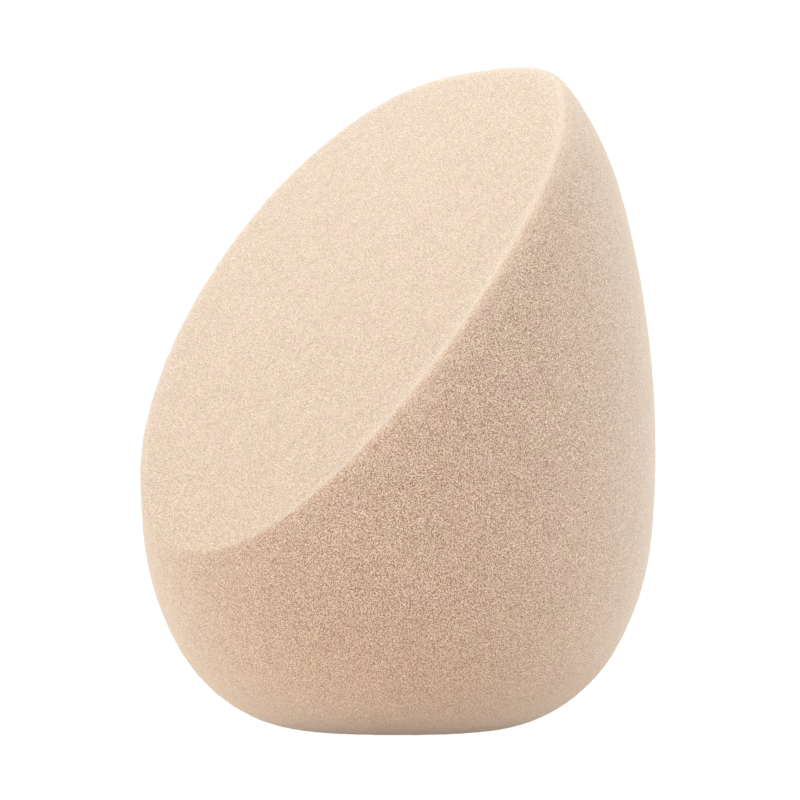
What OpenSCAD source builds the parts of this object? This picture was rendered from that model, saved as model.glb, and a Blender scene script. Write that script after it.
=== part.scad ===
// Makeup sponge with a slanted cut face, standing on its flat foot.
// A foam core carries a thin film of adhesive, and the film holds a coat of short upright pile.
// Millimetres, +Z up. The origin is the middle of the foot, on the axis of the round body, and the
// cut face looks towards -X and up.

/* [Foam body, before the cut] */
// Radius of the flat that the foam stands on
foot_r = 7; // [5:0.5:7.5]
// Radius of the curve that turns the foot up into the bowl
heel_r = 12.65; // [9:0.05:13.5]
// Radius of the curve of the lower bowl
bowl_r = 13.65; // [10:0.05:17]
// Radius of the curve that rounds the belly, up to just short of its widest place
belly_r = 23.65; // [22:0.05:28]
// Radius of the long flat curve of the flank, from the widest place upwards
flank_r = 83.15; // [82:0.05:90]
// Radius of the curve where the flank begins to close in
shoulder_r = 27.65; // [26.5:0.05:32]
// Radius of the curve that rounds off the tip
tip_r = 6.65; // [6:0.05:8]

/* [Cut face] */
// Angle between the middle of the cut face and the upright axis, in degrees
cut_lean = 37; // [36:0.5:40]
// Distance of the middle of the face from the axis
cut_side = 5.7; // [4:0.1:6]
// Height of the middle of the face above the foam's foot
cut_height = 37.75; // [35:0.05:38]
// Radius of the slight bow of the face along its slope. Across the slope it is straight.
cut_bow_r = 250; // [150:10:300]

/* [Coat] */
// Thickness of the adhesive film
glue_t = 0.1; // [0.05:0.05:0.3]
// Standing length of the pile, from the film to the fibre ends
pile_l = 0.45; // [0.4:0.05:1.2]

/* [Fineness of the pile's surface] */
// Strips round the axis
strips = 72; // [48:8:96]
// Rows from the foot up to the rim of the cut
wall_rows = 22; // [16:1:30]
// Rows round the soft rim
rim_rows = 4; // [3:1:6]
// Rows from the rim to the middle of the cut face
face_rows = 5; // [4:1:10]

/* [Hidden] */

// The wall's outline is a chain of arcs, each tangent to the next. A place on it is named by its
// turn: 0 faces straight down, 90 faces level, 180 faces straight up. These are the turns at which
// one arc hands over to the next, and the radius of each arc between them.
arc_turn = [0, 35, 60, 85, 105, 125, 180];
arc_r = [heel_r, bowl_r, belly_r, flank_r, shoulder_r, tip_r];
arcs = len(arc_r);

// The foot of the foam lies above the table by the coat under it
coat_t = glue_t + pile_l;

// Outward direction of the cut face where it leans by lean, and the middle of the level axis that
// the face bows round
function face_out(lean) = [-cos(lean), 0, sin(lean)];
bow_axis = [-cut_side, 0, cut_height + coat_t] - cut_bow_r * face_out(cut_lean);

// Rows of the wall lie closer where it curves more: an arc gets rows for its length and, as if its
// radius were longer by row_bias, for its turn as well
row_bias = 20;
core_rows = 40;
core_fn = 360;
bow_fn = 720;
bow_width = 100;
rim_search_steps = 24;

function total(list, i = 0) = i == len(list) ? 0 : list[i] + total(list, i + 1);
function unit(v) = v / norm(v);
function blend(a, b, share) = unit((1 - share) * a + share * b);

// Each arc's share of a turn t: where t stands on that arc, held to the arc's own ends
function turn_on_arc(k, t) = min(max(t, arc_turn[k]), arc_turn[k + 1]);

// Distance from the axis and height of the foam's wall at turn t, grown outwards by grow
function wall_r(t, grow) = foot_r + grow * sin(t)
    + total([for (k = [0 : arcs - 1]) arc_r[k] * (sin(turn_on_arc(k, t)) - sin(arc_turn[k]))]);
function wall_z(t, grow) = coat_t - grow * cos(t)
    + total([for (k = [0 : arcs - 1]) arc_r[k] * (cos(arc_turn[k]) - cos(turn_on_arc(k, t)))]);

// The same place on the strip at angle around from +X, and the wall's outward direction there
function wall_point(t, around, grow) =
    [wall_r(t, grow) * cos(around), wall_r(t, grow) * sin(around), wall_z(t, grow)];
function wall_out(t, around) = [sin(t) * cos(around), sin(t) * sin(around), -cos(t)];

// Rows counted up the wall, as pairs of row measure and turn, both ways round
function row_measure(k) = total([for (i = [0 : 1 : k - 1])
    (arc_r[i] + row_bias) * (arc_turn[i + 1] - arc_turn[i])]);
turn_of_row = [for (k = [0 : arcs]) [row_measure(k), arc_turn[k]]];
row_of_turn = [for (k = [0 : arcs]) [arc_turn[k], row_measure(k)]];
function wall_turn(top_turn, share) = lookup(share * lookup(top_turn, row_of_turn), turn_of_row);

// The way from the bow's axis straight out to a point, level with it along the axis
function from_axis(point) = [point[0] - bow_axis[0], 0, point[2] - bow_axis[2]];

// Turn at which the strip's wall meets the cut, found by halving
function rim_turn(around, low = 0, high = 180, steps = rim_search_steps) =
    let (middle = (low + high) / 2)
    steps == 0 ? middle
    : norm(from_axis(wall_point(middle, around, 0))) < cut_bow_r
        ? rim_turn(around, middle, high, steps - 1)
        : rim_turn(around, low, middle, steps - 1);

// Half outline of the whole round body before the cut
function body_outline(grow) = [
    [0, coat_t - grow],
    for (k = [0 : core_rows]) let (t = wall_turn(180, k / core_rows)) [wall_r(t, grow), wall_z(t, grow)],
    [0, wall_z(180, grow)]
];

// The round body with its cut, grown outwards by grow all over, with a sharp rim
module cut_body(grow) {
    intersection() {
        rotate_extrude($fn = core_fn) polygon(body_outline(grow));
        translate(bow_axis) rotate([90, 0, 0])
            cylinder(h = bow_width, r = cut_bow_r + grow, center = true, $fn = bow_fn);
    }
}

// Place on the pile over the cut face, where the face leans by lean, at a distance across the slope
function face_place(lean, across) = bow_axis + (cut_bow_r + coat_t) * face_out(lean) + [0, across, 0];

// One strip of the pile's outer surface, from the foot over the rim to short of the face's middle.
// The fibres fan out round the sharp rim of the foam, which is what makes the rim soft.
function pile_strip(around) =
    let (
        top = rim_turn(around),
        rim = wall_point(top, around, 0),
        from_wall = wall_out(top, around),
        from_face = unit(from_axis(rim)),
        rim_lean = asin(from_face[2])
    )
    concat(
        [for (k = [0 : wall_rows]) wall_point(wall_turn(top, k / wall_rows), around, coat_t)],
        [for (k = [1 : rim_rows]) rim + coat_t * blend(from_wall, from_face, k / rim_rows)],
        [for (k = [1 : face_rows - 1]) let (share = k / face_rows)
            face_place(rim_lean + share * (cut_lean - rim_lean), (1 - share) * rim[1])]
    );

// The pile's outer surface as one closed solid: strips side by side, a flat foot and one point at
// the middle of the face
module pile_surface() {
    strip_points = wall_rows + rim_rows + face_rows;
    points = [
        for (s = [0 : strips - 1]) each pile_strip(360 * s / strips),
        face_place(cut_lean, 0)
    ];
    face_middle = strips * strip_points;
    function at(s, k) = (s % strips) * strip_points + k;
    polyhedron(
        points = points,
        faces = [
            [for (s = [0 : strips - 1]) at(s, 0)],
            for (s = [0 : strips - 1], k = [0 : strip_points - 2])
                each [[at(s, k), at(s, k + 1), at(s + 1, k + 1)], [at(s, k), at(s + 1, k + 1), at(s + 1, k)]],
            for (s = [0 : strips - 1])
                [at(s, strip_points - 1), face_middle, at(s + 1, strip_points - 1)]
        ]
    );
}

// Springy open-cell foam, moulded round and cut once
module foam_core() {
    color("#e3c4a6") cut_body(0);
}

// Film of adhesive all over the foam
module adhesive_coat() {
    color("#efe4cf") difference() {
        cut_body(glue_t);
        cut_body(0);
    }
}

// Coat of short microfibre standing on the film, all over
module flock_pile() {
    color("#dcc0a5") difference() {
        pile_surface();
        cut_body(glue_t);
    }
}

foam_core();
adhesive_coat();
flock_pile();
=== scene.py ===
"""Makeup sponge: a foam block under a film of adhesive and a coat of short velvet pile."""
import math

import bpy
import numpy as np
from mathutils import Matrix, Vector, noise


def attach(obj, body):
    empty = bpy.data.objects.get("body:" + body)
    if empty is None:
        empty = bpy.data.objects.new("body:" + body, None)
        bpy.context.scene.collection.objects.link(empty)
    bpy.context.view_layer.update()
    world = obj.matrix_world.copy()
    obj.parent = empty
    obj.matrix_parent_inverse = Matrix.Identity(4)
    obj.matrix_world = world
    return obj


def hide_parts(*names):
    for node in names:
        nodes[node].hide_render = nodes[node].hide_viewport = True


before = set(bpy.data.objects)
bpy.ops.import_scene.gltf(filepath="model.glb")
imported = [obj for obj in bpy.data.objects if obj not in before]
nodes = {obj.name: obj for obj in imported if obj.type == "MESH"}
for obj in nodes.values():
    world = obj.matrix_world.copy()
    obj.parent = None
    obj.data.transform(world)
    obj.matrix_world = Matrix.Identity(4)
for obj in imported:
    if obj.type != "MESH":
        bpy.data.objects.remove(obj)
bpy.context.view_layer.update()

# Sizes are in millimetres, as a maker writes them, and MM turns them into the frame's metres
MM = 0.001

# The round body before the cut: its flat foot, then arcs that run into each other up the wall.
# A place on the wall is named by its turn: 0 faces down, a quarter turn faces level.
FOOT_R = 7.0
ARC_TURN = np.radians([0, 35, 60, 85, 105, 125, 180])
ARC_R = [12.65, 13.65, 23.65, 83.15, 27.65, 6.65]

# The slanted cut face: slightly bowed along its slope, straight across it
CUT_LEAN = math.radians(37)
CUT_SIDE = 5.7
CUT_HEIGHT = 37.75
CUT_BOW_R = 250.0
RIM_SEARCH_STEPS = 40

# The coat: a film of adhesive, then standing pile
GLUE_T = 0.1
PILE_L = 0.45
COAT_T = GLUE_T + PILE_L

# How sharp the rim is sets where the painted highlights and painted light along the rim show: not at all
# where wall and face meet at BLUNT_RIM, in full from SHARP_RIM on
BLUNT_RIM = math.radians(38)
SHARP_RIM = math.radians(58)

# Unevenness of the surfaces, as pairs of grain size and height
PILE_RELIEF = [(1.1, 0.03), (0.55, 0.02)]
FOAM_RELIEF = [(0.6, 0.05)]

# Above 1, the rows of points draw together towards the rim
ROWS_CLOSING = 1.6


# Shape of the sponge

def unit(v):
    return v / np.linalg.norm(v, axis=-1, keepdims=True)


def wall_half(turn, grow):
    """Distance from the axis and height of the wall at each turn, grown outwards by grow."""
    r = FOOT_R + grow * np.sin(turn)
    z = COAT_T - grow * np.cos(turn)
    for k, arc_r in enumerate(ARC_R):
        on_arc = np.clip(turn, ARC_TURN[k], ARC_TURN[k + 1])
        r = r + arc_r * (np.sin(on_arc) - np.sin(ARC_TURN[k]))
        z = z + arc_r * (np.cos(ARC_TURN[k]) - np.cos(on_arc))
    return r, z


def wall_point(turn, around, grow):
    r, z = wall_half(turn, grow)
    return np.stack([r * np.cos(around), r * np.sin(around), z], axis=-1)


def wall_out(turn, around):
    """Outward direction of the wall at each turn and angle round the axis."""
    return np.stack([np.sin(turn) * np.cos(around), np.sin(turn) * np.sin(around), -np.cos(turn)], axis=-1)


def face_out(lean):
    """Outward direction of the cut face where it leans by lean from the upright."""
    return np.stack([-np.cos(lean), np.zeros_like(lean), np.sin(lean)], axis=-1)


# Middle of the level axis that the cut face bows round
BOW_AXIS = np.array([-CUT_SIDE, 0.0, CUT_HEIGHT + COAT_T]) - CUT_BOW_R * face_out(np.array(CUT_LEAN))


def from_bow_axis(point):
    return (point - BOW_AXIS) * [1, 0, 1]


def face_place(lean, across, grow):
    """Place over the cut face, grown outwards by grow, at a distance across the slope."""
    return BOW_AXIS + (CUT_BOW_R + grow) * face_out(lean) + np.multiply.outer(across, [0, 1, 0])


def rim_turns(around):
    """Turn at which each strip's wall meets the cut, found by halving."""
    low = np.zeros_like(around)
    high = np.full_like(around, math.pi)
    for _ in range(RIM_SEARCH_STEPS):
        middle = (low + high) / 2
        inside = np.linalg.norm(from_bow_axis(wall_point(middle, around, 0)), axis=-1) < CUT_BOW_R
        low = np.where(inside, middle, low)
        high = np.where(inside, high, middle)
    return low


def rim_parts(around):
    """Place of the foam's rim on each strip, its turn, and the outward directions of the wall and
    of the face there."""
    top = rim_turns(around)
    rim = wall_point(top, around, 0)
    return rim, top, wall_out(top, around), unit(from_bow_axis(rim))


def strip_angles(strips):
    return np.linspace(0, 2 * math.pi, strips, endpoint=False)


def closing_in(rows):
    """Shares from 0 to 1 that lie closer together towards 1."""
    return 1 - (1 - np.arange(rows + 1) / rows) ** ROWS_CLOSING


def coat_rows(grow, strips, foot_rows, wall_rows, rim_rows, face_rows):
    """Rings of points over the whole sponge, grown outwards by grow from the foam: from the middle
    of the foot up the wall, round the rim and over the cut face to its middle. Each ring goes
    round the axis once, and the middles are single points. Rows lie closer near the rim."""
    around = strip_angles(strips)
    rim, top, from_wall, from_face = rim_parts(around)
    rim_lean = np.arcsin(from_face[:, 2])
    wall_run = np.concatenate([[0], np.cumsum(np.array(ARC_R) * np.diff(ARC_TURN))])
    foot_z = COAT_T - grow
    rings = []
    for k in range(1, foot_rows):
        r = FOOT_R * k / foot_rows
        rings.append(np.stack([r * np.cos(around), r * np.sin(around), np.full(strips, foot_z)], axis=-1))
    for share in closing_in(wall_rows):
        run = np.interp(top, ARC_TURN, wall_run) * share
        rings.append(wall_point(np.interp(run, wall_run, ARC_TURN), around, grow))
    for k in range(1, rim_rows + 1):
        share = k / rim_rows
        rings.append(rim + grow * unit((1 - share) * from_wall + share * from_face))
    for share in 1 - closing_in(face_rows)[-2:0:-1]:
        rings.append(face_place(rim_lean + share * (CUT_LEAN - rim_lean), (1 - share) * rim[:, 1], grow))
    return np.array([0, 0, foot_z]), rings, face_place(np.array(CUT_LEAN), 0.0, grow)


def past_rim(rings, last_wall, first_face):
    """Way of each point along its strip from the middle of the soft rim: more than 0 over the cut
    face, less than 0 down the wall. last_wall and first_face are the rings at the rim's two sides."""
    steps = np.linalg.norm(np.diff(np.array(rings), axis=0), axis=-1)
    run = np.concatenate([np.zeros((1, steps.shape[1])), np.cumsum(steps, axis=0)])
    return run - (run[last_wall] + run[first_face]) / 2


def rim_sharpness(around):
    """How sharp the rim is on each strip: the angle between wall and face, from 0 where it is
    BLUNT_RIM to 1 from SHARP_RIM on."""
    _, _, from_wall, from_face = rim_parts(around)
    angle = np.arccos((from_wall * from_face).sum(axis=-1))
    return np.clip((angle - BLUNT_RIM) / (SHARP_RIM - BLUNT_RIM), 0, 1)


def closed_skin(foot_middle, rings, face_middle, first=0, inward=False):
    """Points and faces of the rings as one closed surface. first is the number of the first point."""
    strips = len(rings[0])
    points = np.concatenate([foot_middle[None], *rings, face_middle[None]])
    last = len(points) - 1
    faces = []
    for s in range(strips):
        t = (s + 1) % strips
        faces.append((0, 1 + t, 1 + s))
        for k in range(len(rings) - 1):
            a, b = 1 + k * strips, 1 + (k + 1) * strips
            faces.append((a + s, a + t, b + t, b + s))
        a = 1 + (len(rings) - 1) * strips
        faces.append((a + s, a + t, last))
    turned = [tuple(first + i for i in (face[::-1] if inward else face)) for face in faces]
    return points, turned


def relief(points, layers):
    """Height of the fine relief at each point: layers are pairs of grain size and height."""
    height = np.zeros(len(points))
    for grain, depth in layers:
        height += depth * np.array([noise.noise(Vector(p) / grain) for p in points])
    return height


def outward(points, faces):
    """Outward direction at each point of a closed surface of triangles and quads."""
    normal = np.zeros_like(points)
    for corners in (3, 4):
        f = np.array([face for face in faces if len(face) == corners])
        across = np.cross(points[f[:, 1]] - points[f[:, 0]], points[f[:, 2]] - points[f[:, 0]])
        if corners == 4:
            across = across + np.cross(points[f[:, 2]] - points[f[:, 0]], points[f[:, 3]] - points[f[:, 0]])
        for c in range(corners):
            np.add.at(normal, f[:, c], across)
    return unit(normal)


def make_piece(name, points, faces, finish, slot, *replaced):
    mesh = bpy.data.meshes.new(name)
    mesh.from_pydata((points * MM).tolist(), [], faces)
    mesh.shade_smooth()
    piece = bpy.data.objects.new(name, mesh)
    bpy.context.scene.collection.objects.link(piece)
    mesh.materials.append(finish)
    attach(piece, "root")
    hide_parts(*replaced)
    return piece


# Finishes

class Value:
    """A number or colour that varies over a surface. Sums on a number add Math nodes."""

    def __init__(self, owner, socket):
        self.owner = owner
        self.socket = socket

    def sum(self, operation, first, second):
        return self.owner.node("ShaderNodeMath", {"operation": operation}, {0: first, 1: second})

    def __add__(self, other):
        return self.sum("ADD", self, other)

    def __sub__(self, other):
        return self.sum("SUBTRACT", self, other)

    def __rsub__(self, other):
        return self.sum("SUBTRACT", other, self)

    def __mul__(self, other):
        return self.sum("MULTIPLY", self, other)

    __radd__ = __add__
    __rmul__ = __mul__


class ShaderNodes:
    """The nodes that work out a material or the room's light."""

    def __init__(self, owner):
        owner.use_nodes = True
        self.tree = owner.node_tree
        self.tree.nodes.clear()

    def node(self, kind, settings=(), sockets=(), out=0):
        """Adds a node: its settings first, then the values or links of its sockets."""
        made = self.tree.nodes.new(kind)
        for name, value in dict(settings).items():
            setattr(made, name, value)
        for name, value in dict(sockets).items():
            if isinstance(value, Value):
                self.tree.links.new(value.socket, made.inputs[name])
            else:
                made.inputs[name].default_value = value
        return Value(self, made.outputs[out] if made.outputs else None)

    def seen_by_camera(self):
        """1 where the camera sees straight, 0 where light falls on another surface first."""
        return self.node("ShaderNodeLightPath", out="Is Camera Ray")


class Finish(ShaderNodes):
    """A material and the nodes that work it out."""

    def __init__(self, name):
        self.material = bpy.data.materials.new(name)
        super().__init__(self.material)

    def end(self, surface):
        """Ends the material in this surface."""
        self.node("ShaderNodeOutputMaterial", {}, {"Surface": surface})
        return self.material

    def place(self):
        """Place on the piece, in metres, in the piece's own frame."""
        return self.node("ShaderNodeTexCoord", out="Object")

    def grain(self, size, detail=2.0, distortion=0.0):
        """Soft random grain from 0 to 1, with spots of about that size in millimetres."""
        return self.node("ShaderNodeTexNoise", {"noise_dimensions": "3D"}, {
            "Vector": self.place(), "Scale": 1 / (size * MM), "Detail": detail, "Distortion": distortion,
        }, out="Fac")

    def cells(self, size):
        """Distance to the nearest of many scattered middles, in cell widths."""
        return self.node("ShaderNodeTexVoronoi", {}, {
            "Vector": self.place(), "Scale": 1 / (size * MM),
        }, out="Distance")

    def carried(self, name):
        """A number that the mesh carries under this name."""
        return self.node("ShaderNodeAttribute", {"attribute_name": name}, out="Fac")

    def band(self, way, middle, reach):
        """1 where way is at middle, falling softly to 0 at reach from it on both sides."""
        off_middle = self.node("ShaderNodeMath", {"operation": "ABSOLUTE"}, {0: way - middle})
        return self.node("ShaderNodeMapRange", {"interpolation_type": "SMOOTHSTEP"}, {
            "Value": off_middle, "From Min": reach, "From Max": 0.0,
        })

    def steepen(self, value, low, high):
        """Stretches the range low to high over 0 to 1."""
        return self.node("ShaderNodeMapRange", {"clamp": True}, {
            "Value": value, "From Min": low, "From Max": high,
        })

    def blend(self, share, first, second):
        """Colour that goes from first to second with share."""
        return self.node("ShaderNodeMix", {"data_type": "RGBA"}, {0: share, 6: first, 7: second}, out=2)

    def bump(self, height, depth):
        """Normal of a relief whose height runs over depth, in millimetres."""
        return self.node("ShaderNodeBump", {}, {"Height": height, "Distance": depth * MM})

    def surface(self, **sockets):
        """Ends the material in the main shader, with these sockets."""
        named = {name.replace("_", " "): value for name, value in sockets.items()}
        return self.end(self.node("ShaderNodeBsdfPrincipled", {}, named))


def colour(red, green, blue):
    """A colour given as it looks on a screen, from 0 to 255, as the renderer's own numbers."""
    def linear(c):
        c = c / 255
        return c / 12.92 if c <= 0.04045 else ((c + 0.055) / 1.055) ** 2.4
    return (linear(red), linear(green), linear(blue), 1.0)


def velvet_finish():
    """Short beige pile: pale fibre ends over darker gaps, which are partly the pile's deeper colour and
    partly painted shade between the fibres, with a pale sheen where it is seen from the side. Along the
    rim, most where it is sharp, the grain is smoother and pale bands are painted in: painted highlights on
    the face and the crest, and painted light on the wall below the rim."""
    f = Finish("velvet_pile")
    specks = f.steepen(f.grain(0.078, detail=0.0), 0.42, 0.58)
    clouds = f.grain(1.5)
    tint = f.steepen(f.grain(1.8, detail=1.0), 0.35, 0.65)
    past = f.carried("past_rim")
    # The rim's sharpness on each strip, which sets where the painted highlights and painted light along the
    # rim show
    sharp_rim_share = f.carried("sharp_rim_share")
    sharpest_rim_share = f.steepen(sharp_rim_share, 0.6, 1.0)
    # The grain is smoother along the crest, under the painted highlight there
    even = 1 - f.band(past, 0.25, 0.35) * sharp_rim_share * 0.4
    ends = (specks - 0.5) * even * 0.88 + 0.43 + clouds * 0.14
    # The darker gaps between the fibre ends: partly the pile's deeper colour, partly painted shade between
    # the fibres
    shaded_gap = f.blend(tint, colour(116, 61, 0), colour(120, 58, 0))
    fibre = f.blend(tint, colour(225, 205, 180), colour(227, 202, 185))
    pile = f.blend(ends, shaded_gap, fibre)
    # Painted highlights and painted light in bands along the rim, each with its middle and reach past the
    # rim, where it shows, how much and its colour:
    # a broad painted highlight on the face, a painted highlight on the crest, and broad and narrow painted
    # light on the wall below the rim
    for middle, reach, where, share, pale in [
        (0.7, 1.9, sharp_rim_share, 0.07, colour(222, 226, 218)),
        (0.4, 0.55, sharp_rim_share, 0.1, colour(246, 238, 226)),
        (-1.4, 2.8, sharpest_rim_share, 0.12, colour(240, 218, 200)),
        (-0.3, 0.9, sharp_rim_share, 0.2, colour(240, 212, 190)),
    ]:
        pile = f.blend(f.band(past, middle, reach) * where * share, pile, pale)
    return f.surface(
        Base_Color=pile,
        Roughness=1.0,
        Specular_IOR_Level=0.1,
        Sheen_Weight=1.0,
        Sheen_Roughness=0.75,
        Sheen_Tint=colour(255, 251, 241),
        Normal=f.bump(specks, 0.008),
    )


def foam_finish():
    """Open-cell foam: pale walls round small cells, which are darkened with painted shade in their hollows.
    """
    f = Finish("foam_cells")
    wall = f.steepen(f.cells(0.3), 0.1, 0.55)
    clouds = f.grain(4.0)
    return f.surface(
        # Dark at the cell middles: painted shade in the open cells
        Base_Color=f.blend(wall * 0.85 + clouds * 0.15, colour(170, 128, 96), colour(232, 204, 176)),
        Roughness=0.9,
        Specular_IOR_Level=0.25,
        Normal=f.bump(wall, 0.08),
    )


def film_finish():
    """Thin cloudy film of dried adhesive."""
    f = Finish("adhesive_film")
    streaks = f.steepen(f.grain(1.8, detail=4.0, distortion=0.6), 0.3, 0.7)
    return f.surface(
        Base_Color=f.blend(streaks, colour(226, 208, 180), colour(240, 228, 206)),
        Roughness=0.4 + streaks * 0.2,
        Normal=f.bump(streaks, 0.02),
    )


# Pieces

def carry(piece, name, values):
    """Gives the piece's mesh a number at each point of its outer rings, ring by ring."""
    at_points = np.zeros(len(piece.data.vertices))
    at_points[1:1 + values.size] = values.ravel()
    piece.data.attributes.new(name, "FLOAT", "POINT").data.foreach_set("value", at_points)


def make_pile():
    """The velvet coat: its outer surface with the slight unevenness of the pile, and its inner
    surface, which lies on the film."""
    strips, foot_rows, wall_rows, rim_rows, face_rows = 400, 20, 130, 8, 70
    foot_middle, rings, face_middle = coat_rows(COAT_T, strips, foot_rows, wall_rows, rim_rows, face_rows)
    points, faces = closed_skin(foot_middle, rings, face_middle)
    points = points + relief(points, PILE_RELIEF)[:, None] * outward(points, faces)
    points[:, 2] = np.maximum(points[:, 2], 0)
    inner_rows = coat_rows(GLUE_T, strips=96, foot_rows=3, wall_rows=30, rim_rows=2, face_rows=12)
    inner_points, inner_faces = closed_skin(*inner_rows, first=len(points), inward=True)
    pile = make_piece("velvet_pile_coat", np.concatenate([points, inner_points]), faces + inner_faces,
                      velvet_finish(), "pile", "flock_pile")
    last_wall = foot_rows - 1 + wall_rows
    past = past_rim(rings, last_wall, last_wall + rim_rows)
    carry(pile, "past_rim", past)
    # The rim's sharpness on each strip, which sets where the painted highlights and painted light along the
    # rim show
    carry(pile, "sharp_rim_share", np.broadcast_to(rim_sharpness(strip_angles(strips)), past.shape))


def make_foam():
    """The foam block, whose open cells pit its skin."""
    foot_rows, wall_rows = 10, 70
    foot_middle, rings, face_middle = coat_rows(0.0, 200, foot_rows, wall_rows, rim_rows=1, face_rows=36)
    # With nothing grown round the sharp rim, its one ring falls on the wall's last
    del rings[foot_rows + wall_rows]
    points, faces = closed_skin(foot_middle, rings, face_middle)
    pits = np.minimum(relief(points, FOAM_RELIEF), 0)
    points = points + pits[:, None] * outward(points, faces)
    foam = make_piece("foam_block", points, faces, foam_finish(), "foam", "foam_core")


def finish_film():
    """The adhesive keeps its solid and gets its finish."""
    film = nodes["adhesive_coat"]
    film.data.materials.clear()
    film.data.materials.append(film_finish())


# Studio

# The photograph's camera: a long lens that looks up a little at the middle of the sponge, with the
# cut face to the left. All distances are in millimetres.
CAMERA_TURN = math.radians(-40.82)
CAMERA_RISE = math.radians(-1.79)
AIM_HEIGHT = 28.395
AIM_ASIDE = 0.2
CAMERA_DISTANCE = 300.0
PHOTO_SIDE = 800
LENS_PIXELS = 3472.5
SENSOR = 36.0
NEAREST_SEEN = 10.0
FARTHEST_SEEN = 20000.0

WHITE = (1.0, 1.0, 1.0)
WARM_TOP = (1.0, 0.84, 0.54)
WARM_LEFT = (1.0, 0.97, 0.88)
COOL_RIGHT = (0.82, 0.9, 1.0)
ROOM_LEVEL = 0.63

# The floor reaches far past the view. Its glow is a share of it: most of it for the camera, so that
# it looks white, and little of it where it lights the sponge.
FLOOR_REACH = 4000.0
FLOOR_COLOUR = (0.94, 0.76, 0.61, 1.0)
GLOW_STRENGTH = 1.05
GLOW_FOR_CAMERA = 0.95
GLOW_FOR_SPONGE = 0.22


def camera_axes():
    """The camera's right and its way back from the sponge."""
    right = Vector((math.cos(CAMERA_TURN), math.sin(CAMERA_TURN), 0))
    level_back = Vector((math.sin(CAMERA_TURN), -math.cos(CAMERA_TURN), 0))
    return right, level_back * math.cos(CAMERA_RISE) + Vector((0, 0, math.sin(CAMERA_RISE)))


def set_up(name, data, place, looks_along):
    """Puts a camera or lamp at a place, in millimetres, and turns it to look along a direction."""
    thing = bpy.data.objects.new(name, data)
    thing.location = place * MM
    thing.rotation_mode = "QUATERNION"
    thing.rotation_quaternion = looks_along.to_track_quat("-Z", "Y")
    bpy.context.scene.collection.objects.link(thing)
    return thing


def make_camera():
    data = bpy.data.cameras.new("photo_camera")
    data.sensor_width = SENSOR
    data.lens = LENS_PIXELS * SENSOR / PHOTO_SIDE
    data.clip_start = NEAREST_SEEN * MM
    data.clip_end = FARTHEST_SEEN * MM
    right, back = camera_axes()
    aim = Vector((0, 0, AIM_HEIGHT)) + AIM_ASIDE * right
    bpy.context.scene.camera = set_up("photo_camera", data, aim + CAMERA_DISTANCE * back, -back)


def make_lamp(name, aside, above, towards, level, size, distance=500.0, tint=WHITE):
    """A square soft lamp. aside, above and towards give its way from the sponge, seen from the
    camera: to the right, up and nearer. A white sheet at the sponge that faces it renders at about
    level, in the lamp's tint."""
    right, back = camera_axes()
    way = (aside * right + above * Vector((0, 0, 1)) + towards * back).normalized()
    data = bpy.data.lights.new(name, "AREA")
    data.size = size * MM
    data.energy = level * (math.pi * distance * MM) ** 2
    data.color = tint
    set_up(name, data, Vector((0, 0, AIM_HEIGHT)) + way * distance, -way)


def make_lamps():
    """Warm light from above and from the left, cooler light from the right. The top lamp hangs close
    over the sponge, so the tip gets more of it than the foot."""
    make_lamp("top", aside=-0.1, above=1.0, towards=0.2, level=0.33, size=150, distance=160,
              tint=WARM_TOP)
    make_lamp("left", aside=-1.0, above=0.05, towards=0.5, level=0.34, size=150, distance=300,
              tint=WARM_LEFT)
    make_lamp("left_top", aside=-1.0, above=1.0, towards=0.2, level=0.15, size=200, distance=400)
    make_lamp("right_top", aside=0.8, above=1.0, towards=0.7, level=0.39, size=250, tint=COOL_RIGHT)


def make_room(level):
    """An even white room, which lights the sponge at level and which the camera sees as plain white."""
    world = bpy.data.worlds.new("white_room")
    bpy.context.scene.world = world
    room = ShaderNodes(world)
    lit = room.node("ShaderNodeBackground", {}, {"Color": (*WHITE, 1), "Strength": level})
    white = room.node("ShaderNodeBackground", {}, {"Color": (*WHITE, 1), "Strength": 1.0})
    both = room.node("ShaderNodeMixShader", {}, {0: room.seen_by_camera(), 1: lit, 2: white})
    room.node("ShaderNodeOutputWorld", {}, {"Surface": both})


def make_floor():
    """A pale floor that glows a little from below, which the camera sees as white but for a faint
    shadow."""
    f = Finish("pale_floor")
    sheet = f.node("ShaderNodeBsdfDiffuse", {}, {"Color": FLOOR_COLOUR})
    glow = f.node("ShaderNodeEmission", {}, {"Color": (*WHITE, 1), "Strength": GLOW_STRENGTH})
    glow_share = f.seen_by_camera() * (GLOW_FOR_CAMERA - GLOW_FOR_SPONGE) + GLOW_FOR_SPONGE
    f.end(f.node("ShaderNodeMixShader", {}, {0: glow_share, 1: sheet, 2: glow}))
    mesh = bpy.data.meshes.new("floor")
    reach = FLOOR_REACH * MM
    corners = [(-reach, -reach, 0), (reach, -reach, 0), (reach, reach, 0), (-reach, reach, 0)]
    mesh.from_pydata(corners, [], [(0, 1, 2, 3)])
    mesh.materials.append(f.material)
    floor = bpy.data.objects.new("floor", mesh)
    bpy.context.scene.collection.objects.link(floor)


make_camera()
make_pile()
make_foam()
finish_film()
make_room(ROOM_LEVEL)
make_lamps()
make_floor()

bpy.context.scene.view_settings.view_transform = "Standard"
